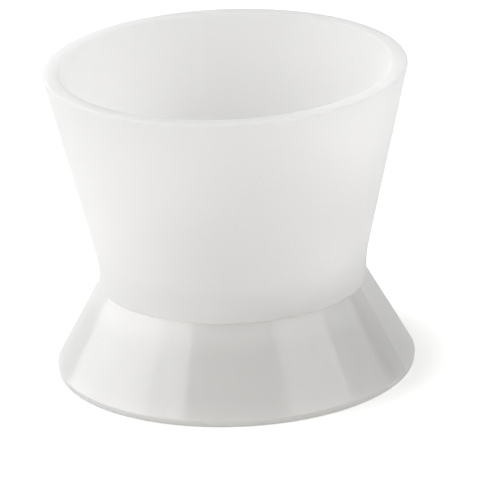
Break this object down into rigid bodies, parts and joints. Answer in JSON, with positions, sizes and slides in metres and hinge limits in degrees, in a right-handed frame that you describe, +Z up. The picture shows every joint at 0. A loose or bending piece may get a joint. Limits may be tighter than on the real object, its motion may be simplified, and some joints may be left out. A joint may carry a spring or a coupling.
{
  "type": "resin mixing cup",
  "caption": "Soft translucent silicone cup for mixing casting resin: matt conical bowl with a flat rim, necked in above a glossy flared foot that is hollow underneath.",
  "frame": {"origin": "middle of the plane that the foot stands on", "axes": "+Z up along the cup's axis of revolution, from foot to rim; X and Y are free, because the cup is round"},
  "size_m": [0.0518, 0.0518, 0.045],
  "materials": {
    "matt_silicone": "translucent white silicone rubber, matt from a blasted mould surface, smooth satin inside",
    "gloss_silicone": "translucent white silicone rubber, glossy from a polished mould surface"
  },
  "bodies": {
    "root": {"bowl": "matt_silicone", "foot": "gloss_silicone"}
  },
  "joints": []
}
